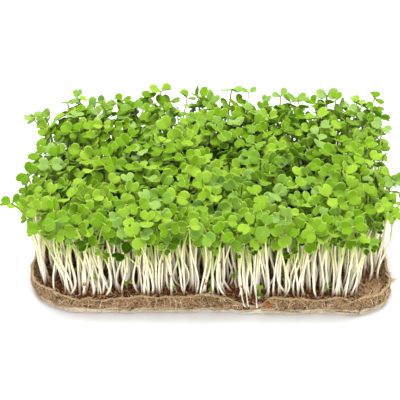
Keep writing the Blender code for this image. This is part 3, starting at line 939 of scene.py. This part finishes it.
def wave_sum(waves, share):
    return sum(reach * math.sin(count * 2 * math.pi * share + phase) for reach, count, phase in waves)


def bump_at(value, middle, width, height):
    return height * math.exp(-(((value - middle) / width) ** 2))


def rim_height(point, share):
    height = RIM_HEIGHT + wave_sum(RIM_WAVES, share)
    if point[1] < -FRONT_SHARE * TRAY_DEPTH / 2:
        height += sum(bump_at(point[0], *tear) for tear in FRONT_TEARS)
    if point[0] > SIDE_SHARE * TRAY_LENGTH / 2:
        height += bump_at(point[1], *RIGHT_RISE)
    if point[0] < -SIDE_SHARE * TRAY_LENGTH / 2:
        height += bump_at(point[1], *LEFT_RISE)
    return height


def strayed(point, normal, share, inset):
    """A point of the plan, inset and then strayed as the solids' wall is."""
    return point + normal * (wave_sum(WALL_WAVES, share) - inset)


def wall_point(point, normal, share, inset, z):
    """A point of the soft wall at a height, roughened."""
    place = strayed(point, normal, share, inset)
    x, y = place + normal * (rough((*place, z), FELT_LUMPS) * min(1.0, z / 0.001))
    return (x, y, z)


def make_tray():
    """The tray's felt: one closed wall from the underside, over the torn rim, to its floor."""
    plan = [(*plan_point(i / RIM_POINTS), i / RIM_POINTS) for i in range(RIM_POINTS)]
    rims = [rim_height(point, share) + rough((*point, 0.0), RIM_FRAY) for point, _, share in plan]
    profile = [(height / RIM_HEIGHT, inset, 0.0) for height, inset in OUTER_PROFILE]
    profile += RIM_PROFILE
    profile += [(height / RIM_HEIGHT, inset, 0.0) for height, inset in INNER_PROFILE]
    points, low_values, rim_values, pit_values = [], [], [], []
    for level, (share_up, inset, torn) in enumerate(profile):
        outside = level < len(OUTER_PROFILE) + RIM_RINGS_OUTSIDE
        for (point, normal, share), rim in zip(plan, rims):
            z = share_up * rim
            pit = 0.0
            if outside and point[1] < 0:
                pit = max(math.exp(-((point[0] - x) / w) ** 2 - ((z - h) / t) ** 2) for x, h, w, t in PITS)
            points.append(wall_point(point, normal, share, inset + PIT_DEPTH * pit, z))
            low_values.append(max(0.0, 1.0 - z / PALE_HEIGHT) if outside else 0.0)
            rim_values.append(torn)
            pit_values.append(pit)
    tray = Batch("low", "rim", "pit")
    faces = ring_faces(len(profile), RIM_POINTS)
    tray.add(points, faces, low=low_values, rim=rim_values, pit=pit_values)
    tray.piece("felt_tray", felt_finish(), "fibre", "fibre_tray")


def add_fibre(batch, path, radius, tint):
    points, faces = tube(path, np.full(len(path), radius), 3)
    batch.add(points, faces, tint=tint)


def wall_inset(height):
    """The inset of the wall's outer face at a height."""
    return np.interp(height, *zip(*OUTER_PROFILE[3:]))


def wall_fibre(draw):
    """A curly fibre that lies on the outer face of the wall: its path and how high it starts."""
    share, height = draw.random(), draw.random()
    turn, curl = draw.uniform(0, 2 * math.pi), draw.gauss(0, 0.45)
    if height < 0.3:
        turn, curl = draw.gauss(0, 0.12), draw.gauss(0, 0.08)
    step, lift = draw.uniform(0.0005, 0.0014), draw.uniform(0.0001, 0.0005)
    z = height * 0.0125
    path = []
    for _ in range(7):
        point, normal = plan_point(share)
        held = min(max(z, 0.0006), rim_height(point, share) - 0.0001)
        path.append(wall_point(point, normal, share, wall_inset(held) - lift, held))
        share += step * math.cos(turn) / WAY_ROUND
        z += step * math.sin(turn)
        turn += curl + draw.gauss(0, 0.15)
    return path, height


def sagging_path(start, way, length, sag):
    """A fibre from a place, straight but for what it sags or rises toward its end."""
    steps = np.linspace(0, 1, 5)[:, None]
    return start + way * steps * length + np.array((0, 0, sag)) * steps ** 2


def make_fibres():
    """Loose fibres that lie on the wall or stand out of the torn rim and the lower edge."""
    draw = random.Random(SEED + 2)
    batch = Batch("tint")
    for _ in range(WALL_FIBRES):
        path, height = wall_fibre(draw)
        tint = draw.uniform(0.6, 1.0) if height < 0.3 else draw.uniform(0.1, 0.95)
        add_fibre(batch, path, 0.00007 + 0.00013 * draw.random() ** 2, tint)
    for _ in range(RIM_FIBRES):
        share = draw.random()
        point, normal = plan_point(share)
        start = np.array(wall_point(point, normal, share, 0.0012, rim_height(point, share) - 0.0004))
        along = np.array((-normal[1], normal[0], 0.0)) * draw.choice((-1, 1))
        out = np.array((*normal, 0.0)) * draw.uniform(-0.7, 0.7)
        way = unit(along * draw.uniform(0.2, 1.0) + out + np.array((0, 0, draw.uniform(0.05, 0.7))))
        path = sagging_path(start, way, draw.uniform(0.0015, 0.0048), 2 * draw.uniform(-0.0012, 0.0004))
        add_fibre(batch, path, draw.uniform(0.00006, 0.00015), draw.uniform(0.3, 1.0))
    for x, top, bottom in WALL_THREADS:
        steps = np.linspace(0, 1, 8)
        heights = top + (bottom - top) * steps
        sway = 0.0004 * np.sin(steps * 5 + x * 900)
        path = np.column_stack((x + sway, wall_inset(heights) + FRONT_WALL_Y - 0.0009, heights))
        add_fibre(batch, path, 0.00026, 0.95)
    corner, out = plan_point(CORNER_SHARE)
    rim = rim_height(corner, CORNER_SHARE)
    for _ in range(CORNER_TUFT):
        start = np.array((*(corner - out * 0.0012), rim - draw.uniform(0.0004, 0.0024)))
        way = unit((0.95, draw.gauss(0.05, 0.16), draw.gauss(0.22, 0.10)))
        path = sagging_path(start, way, draw.uniform(0.0030, 0.0062), -0.0006)
        add_fibre(batch, path, draw.uniform(0.00008, 0.00018), draw.uniform(0.3, 0.9))
    batch.piece("loose_fibres", fibre_finish(), "fibre")


# The soil


def soil_top(x, y):
    """The height of the lumpy soil at a place."""
    return SOIL_HEIGHT + 0.0003 + rough((x, y, 0), SOIL_LUMPS)


def make_soil():
    """The soil bed: a lumpy top that meets the wall, closed underneath."""
    plan = [(*plan_point(i / SOIL_POINTS), i / SOIL_POINTS) for i in range(SOIL_POINTS)]
    points = [(*(point - normal * SOIL_FOOT_INSET), FLOOR_HEIGHT + 0.0004) for point, normal, _ in plan]
    for inset, below in SOIL_BANKS:
        for point, normal, share in plan:
            x, y = strayed(point, normal, share, inset)
            points.append((x, y, min(soil_top(x, y), rim_height(point, share) - below)))
    edge = np.array([strayed(point, normal, share, SOIL_EDGE_INSET) for point, normal, share in plan])
    for ring in range(SOIL_RINGS):
        points += [(x, y, soil_top(x, y)) for x, y in edge * (1.0 - (ring / SOIL_RINGS) ** 1.15)]
    tints = [max(0.42 * clamp((-0.056 - y) / 0.012), 0.95 * felt_share(x, y)) for x, y, _ in points]
    soil = Batch("tint")
    soil.add(points, ring_faces(len(points) // SOIL_POINTS, SOIL_POINTS), tint=tints)
    soil.piece("peat_bed", soil_finish(), "soil", "soil_bed")


def lump(draw, radius, stretch):
    """An uneven crumb: a small ball with its points moved in and out."""
    mesh = bmesh.new()
    bmesh.ops.create_icosphere(mesh, subdivisions=2, radius=1.0)
    points = np.array([vert.co for vert in mesh.verts])
    faces = [tuple(vert.index for vert in face.verts) for face in mesh.faces]
    mesh.free()
    offset = draw.uniform(0, 90)
    bulge = np.array([1.0 + 0.35 * smooth_noise(p, 1.4, offset) for p in points])
    turn = draw.uniform(0, math.pi)
    return spun(points * bulge[:, None] * np.array(stretch) * radius, turn), faces


def bed_place(draw, edge_bias):
    """A random place on the bed, more often near its edge, where it shows."""
    while True:
        x, y = draw.uniform(-BED_HALF[0], BED_HALF[0]), draw.uniform(-BED_HALF[1], BED_HALF[1])
        pull = max(map(abs, edge_pull(x, y, LITTER_BAND)))
        if in_rounded_box(x, y, BED_HALF, BED_CORNER) and pull > draw.random() * edge_bias - 0.15:
            return x, y


def front_place(draw):
    """A random place on the strip of soil inside the front wall, and in the wide dip's bank."""
    while True:
        x, y = draw.uniform(-0.106, 0.108), SOIL_FRONT_Y + 0.0200 * draw.random() ** 1.5
        if in_rounded_box(x, y, FRONT_SOIL_HALF, FRONT_SOIL_CORNER):
            return x, y


def corner_place(draw):
    """A random place in the front right corner of the soil and along its right edge."""
    while True:
        x, y = draw.uniform(0.088, 0.1115), draw.uniform(-0.076, -0.010)
        over_y = -y - 0.0530
        near_wall = x > 0.106 if over_y < 0 else math.hypot(x - 0.0870, over_y) < 0.0240
        if near_wall:
            return x, y


def litter_height(x, y):
    """The top of the soil, or of its bank where the front wall is low."""
    bank = SOIL_HEIGHT + 0.0010 + sum(bump_at(x, *tear) for tear in FRONT_TEARS[:WIDE_DIP_TEARS])
    share = clamp((y - SOIL_FRONT_Y) / 0.0045)
    return min(soil_top(x, y), bank + (SOIL_HEIGHT + 0.0030 - bank) * share)


def felt_share(x, y):
    """The share of torn felt in the litter: most in the front right corner and along the right wall."""
    corner = math.exp(-((x - 0.104) / 0.016) ** 2 - ((y + 0.066) / 0.020) ** 2)
    return 0.06 + 0.92 * max(corner, 0.7 * math.exp(-((x - 0.111) / 0.006) ** 2))


def make_crumbs():
    """Crumbs of peat, and bits of torn felt among them."""
    draw = random.Random(SEED + 3)
    batch = Batch("tint")
    for index in range(CRUMBS + FRONT_CRUMBS + CORNER_CRUMBS):
        x, y = bed_place(draw, 1.0) if index < CRUMBS else front_place(draw)
        if index >= CRUMBS + FRONT_CRUMBS:
            x, y = corner_place(draw)
        radius = draw.uniform(0.0004, 0.0012)
        points, faces = lump(draw, radius, (1.0, draw.uniform(0.5, 1.0), draw.uniform(0.4, 0.9)))
        tint = draw.uniform(0.75, 1.0) if draw.random() < felt_share(x, y) else 0.55 * draw.random() ** 1.3
        batch.add(points + (x, y, litter_height(x, y) + radius * 0.25), faces, tint=tint)
    batch.piece("peat_crumbs", soil_finish(), "soil")


def curled_path(draw, start, turn, length, curl, steps):
    """A curly path along the soil from a place, at its height."""
    x, y, lift = start
    path = []
    for _ in range(steps):
        path.append((x, y, litter_height(x, y) + lift))
        x, y = x + length / steps * math.cos(turn), y + length / steps * math.sin(turn)
        y = max(y, -0.0785)
        turn += curl + draw.gauss(0, 0.2)
        lift = max(0.0001, lift + draw.gauss(0, 0.0002))
    return path


def make_soil_fibres():
    """Torn felt fibres that lie on the soil, most of them in the front right corner and near the walls."""
    draw = random.Random(SEED + 5)
    batch = Batch("tint")
    for index in range(SOIL_FIBRES):
        x, y = front_place(draw) if index % 3 else bed_place(draw, 1.3)
        if index % 3 == 1:
            x, y = corner_place(draw)
        turn, length, curl = draw.uniform(0, 2 * math.pi), draw.uniform(0.002, 0.006), draw.gauss(0, 0.4)
        path = curled_path(draw, (x, y, 0.0004), turn, length, curl, 7)
        add_fibre(batch, path, draw.uniform(0.00006, 0.00013), draw.uniform(0.2, 0.95))
    batch.piece("soil_fibres", fibre_finish(), "fibre")


def hanging_path(x, end_x, below):
    """A white stem that comes down from the stand and over the wall's wide dip."""
    rim = rim_height((x, FRONT_WALL_Y), 0.2)
    middle = (x + end_x) / 2
    knots = (
        (x - 0.0026, -0.0590, 0.0530),
        (x - 0.0008, -0.0680, 0.0370),
        (x + 0.0006, -0.0740, 0.0210),
        (x + 0.0016, FRONT_WALL_Y + 0.0035, rim + 0.0030),
        (middle + 0.0006, FRONT_WALL_Y + 0.0004, rim + 0.0010),
        (middle + 0.0010, FRONT_WALL_Y - 0.0010, rim - 0.0004),
        (end_x, FRONT_WALL_Y - 0.0012, rim - below),
    )
    fine = np.linspace(0, len(knots) - 1, 22)
    path = np.column_stack([np.interp(fine, np.arange(len(knots)), values) for values in zip(*knots)])
    path[1:-1] = (path[:-2] + 2 * path[1:-1] + path[2:]) / 4
    return path


def make_roots(seedlings):
    """White roots that curl along the soil at the front, and a few stems that hang over the wide dip."""
    draw = random.Random(SEED + 6)
    front = [seedling["foot"] for seedling in seedlings if seedling["foot"][1] < -0.062]
    paths = []
    for x, y, _ in draw.sample(front, min(ROOTS, len(front))):
        turn = -math.pi / 2 + draw.gauss(0, 0.9)
        length, curl = draw.uniform(0.003, 0.009), draw.gauss(0, 0.35)
        paths.append(curled_path(draw, (x, y, 0.0003), turn, length, curl, 9))
    turns = np.linspace(-0.6, 1.75 * math.pi, 14)
    x, y, z, radius = CURLED_ROOT
    loop = (x + radius * np.cos(turns), y - 0.0006 * turns / math.pi, z + radius * 0.8 * np.sin(turns))
    paths.append(np.column_stack(loop))
    paths += [hanging_path(*root) for root in HANGING_ROOTS]
    batch = Batch("rise", "tint")
    for path in paths:
        share = np.linspace(0, 1, len(path))
        thick = 1.0 if path[0][2] > 0.03 else 0.55
        points, faces = tube(path, thick * (0.00058 - 0.00018 * share), 6)
        batch.add(points, faces, rise=np.repeat(0.24 - 0.06 * share, 6), tint=0.0)
    batch.piece("white_roots", stem_finish(), "stem")


def husk(draw, radius):
    """A split seed coat: a thin curled shell, open on one side."""
    opening = draw.uniform(0.9, 1.5)
    outer = []
    for row in range(HUSK_ROWS + 1):
        lift = (row / HUSK_ROWS - 0.5) * math.pi * 0.94
        for column in range(HUSK_COLUMNS + 1):
            turn = -math.pi + opening / 2 + column / HUSK_COLUMNS * (2 * math.pi - opening)
            flat = math.cos(lift)
            direction = np.array((flat * math.cos(turn), flat * math.sin(turn), math.sin(lift)))
            outer.append(direction * radius * (1.0 + 0.08 * draw.uniform(-1, 1)))
    outer = np.array(outer)
    points = np.concatenate((outer, outer * 0.84)) * (1.0, draw.uniform(0.7, 1.0), draw.uniform(0.6, 0.9))
    turn, tip = draw.uniform(0, 2 * math.pi), draw.uniform(0, math.pi)
    tipped = np.array(((1, 0, 0), (0, math.cos(tip), -math.sin(tip)), (0, math.sin(tip), math.cos(tip))))
    return spun(points @ tipped.T, turn), sheet_faces(HUSK_ROWS, HUSK_COLUMNS)


def make_husks(seedlings):
    """Seed coats on the soil, most at the front, in the wide dip's corner and on a few stems."""
    draw = random.Random(SEED + 4)
    places = [bed_place(draw, 1.2) for _ in range(HUSKS)] + [front_place(draw) for _ in range(FRONT_HUSKS)]
    spots = [(x, y, litter_height(x, y) + 0.0005) for x, y in places]
    spots += [(draw.gauss(0.0368, 0.0016), -0.0826, draw.uniform(0.0070, 0.0104)) for _ in range(DIP_HUSKS)]
    front = [made for made in seedlings if made["foot"][1] < -0.060 and made["tip"][2] > 0.045]
    for seedling in draw.sample(front, STEM_HUSKS):
        x, y, z = stem_points(seedling)[draw.randint(2, 9)]
        spots.append((x + draw.uniform(-0.0006, 0.0006), y - 0.0012, z))
    batch = Batch("tint")
    for spot in spots:
        points, faces = husk(draw, draw.uniform(0.0008, 0.0014))
        batch.add(points + spot, faces, tint=draw.random() ** 0.6)
    batch.piece("seed_husks", husk_finish(), "husk")


# The stage

CAMERA_AZIMUTH, CAMERA_ELEVATION = 1.0, 30.0
CAMERA_DISTANCE = 0.90
CAMERA_AIM = Vector((0.0, 0.0, 0.035))
METRES_ACROSS = 0.272  # what the picture's width spans at the aim
CAMERA_SHIFT = (-0.029, 0.011)
SENSOR = 36.0
FLOOR_REACH = 6.0
FLOOR_WHITE = (0.920, 0.925, 0.955, 1.0)
WORLD_STRENGTH = 0.44


def aim(obj, place, target):
    """Puts a camera or a lamp at a place, turned to a target."""
    obj.location = place
    obj.rotation_mode = "QUATERNION"
    obj.rotation_quaternion = (Vector(target) - Vector(place)).to_track_quat("-Z", "Y")


def make_camera():
    camera = placed("camera", bpy.data.cameras.new("camera"))
    bpy.context.scene.camera = camera
    azimuth, elevation = math.radians(CAMERA_AZIMUTH), math.radians(CAMERA_ELEVATION)
    flat = math.cos(elevation)
    back = Vector((math.sin(azimuth) * flat, -math.cos(azimuth) * flat, math.sin(elevation)))
    aim(camera, CAMERA_AIM + back * CAMERA_DISTANCE, CAMERA_AIM)
    camera.data.sensor_width = SENSOR
    camera.data.lens = SENSOR * CAMERA_DISTANCE / METRES_ACROSS
    camera.data.shift_x, camera.data.shift_y = CAMERA_SHIFT
    camera.data.clip_start = 0.01


def make_floor():
    mesh = bpy.data.meshes.new("floor")
    corners = [(sign_x * FLOOR_REACH, sign_y * FLOOR_REACH, 0) for sign_x, sign_y in CORNER_SIGNS]
    mesh.from_pydata(corners, [], [(0, 1, 2, 3)])
    mesh.materials.append(Nodes("floor_white").finish(FLOOR_WHITE, 0.9, 0.1))
    floor = placed("floor", mesh)
    floor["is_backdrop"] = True


def area_light(name, place, target, size, watts):
    light = bpy.data.lights.new(name, "AREA")
    light.shape = "RECTANGLE"
    light.size, light.size_y = size
    light.energy = watts
    aim(placed(name, light), place, target)


def make_lights():
    world = bpy.data.worlds.new("studio")
    world.use_nodes = True
    background = world.node_tree.nodes["Background"]
    background.inputs["Color"].default_value = (1.0, 1.0, 1.0, 1.0)
    background.inputs["Strength"].default_value = WORLD_STRENGTH
    bpy.context.scene.world = world
    area_light("overhead", (-0.03, 0.06, 1.20), (0.0, 0.0, 0.04), (0.9, 0.9), 28.0)
    area_light("front_fill", (0.10, -1.20, 0.45), (0.0, 0.0, 0.03), (1.4, 0.5), 9.2)
    bpy.context.scene.view_settings.view_transform = "Standard"


make_camera()
make_floor()
make_lights()
SEEDLINGS = make_seedlings()
make_tray()
make_fibres()
make_soil()
make_crumbs()
make_soil_fibres()
make_roots(SEEDLINGS)
make_husks(SEEDLINGS)

boxes = {"cad": CAD_BOX, "visual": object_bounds()}
{name: [list(corner) for corner in box] for name, box in boxes.items()}
